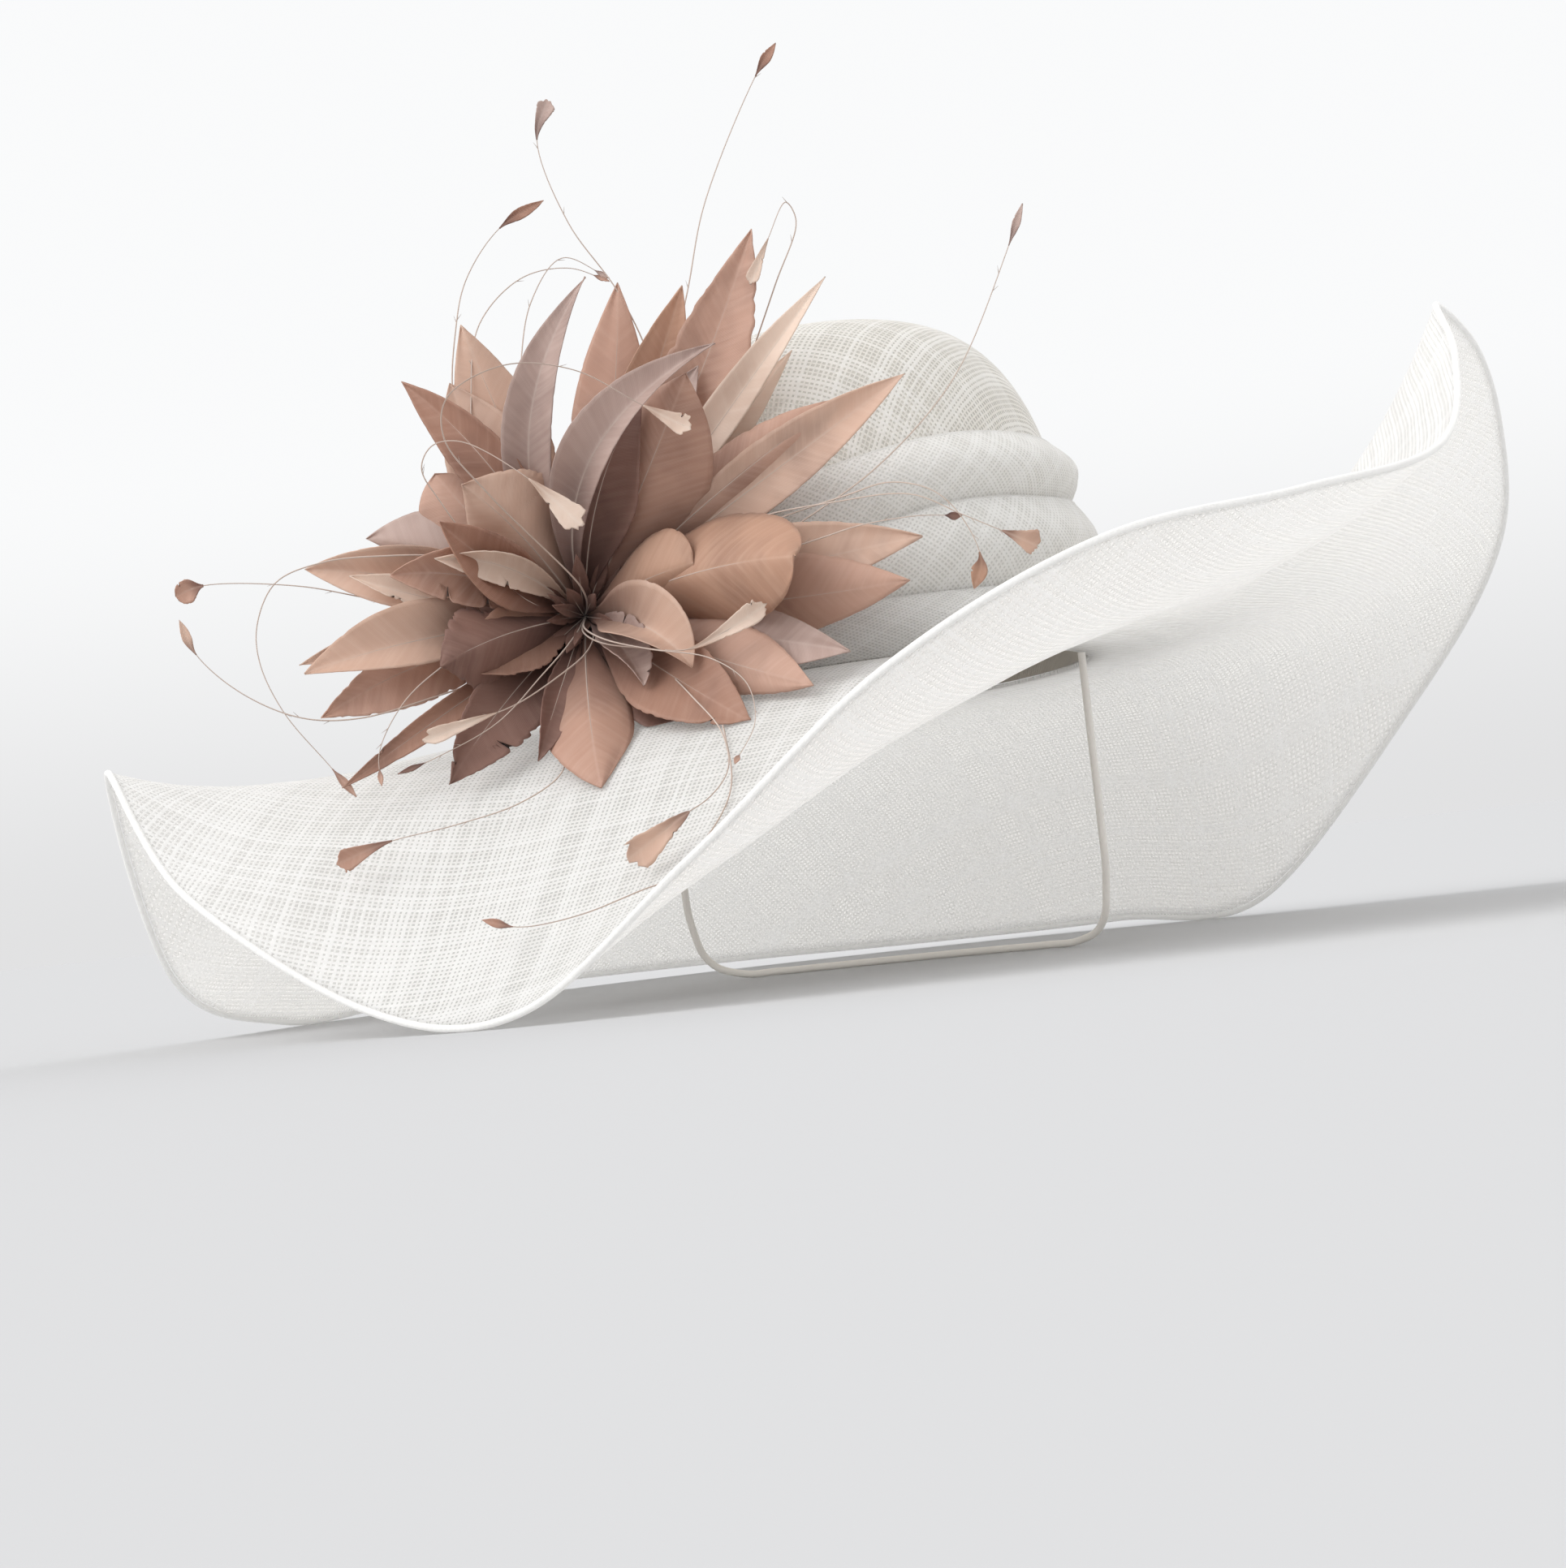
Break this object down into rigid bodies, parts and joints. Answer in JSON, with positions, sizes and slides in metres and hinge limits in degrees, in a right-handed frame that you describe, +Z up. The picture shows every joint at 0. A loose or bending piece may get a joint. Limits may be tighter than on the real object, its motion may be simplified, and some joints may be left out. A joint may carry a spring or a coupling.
{
  "type": "church hat",
  "caption": "Wide-brimmed dress hat of white open-weave straw with a tall round crown, soft pleated band, wavy brim, feather flower with curled stripped quills and an elastic loop.",
  "frame": {"origin": "middle of the bottom of the hat's box, on the surface that the rim rests on", "axes": "+Z up, -Y towards the front of the hat, +X towards the wearer's left, where the brim turns up"},
  "size_m": [0.5292, 0.5256, 0.3549],
  "materials": {
    "straw": "open plain weave of fine straw strands, pressed and stiffened",
    "rolled_edge": "straw rolled over an edge and sewn down",
    "ribbon": "ribbed ribbon, semi-matte",
    "feather": "trimmed feathers, dusty rose brown with paler quills",
    "elastic": "covered round elastic, matte"
  },
  "bodies": {
    "root": {"crown": "straw", "brim": "straw", "brim_edge": "rolled_edge", "drape_lower": "straw", "drape_middle": "straw", "drape_upper": "straw", "head_ribbon": "ribbon", "feather_flower": "feather", "elastic_cord": "elastic"}
  },
  "joints": []
}
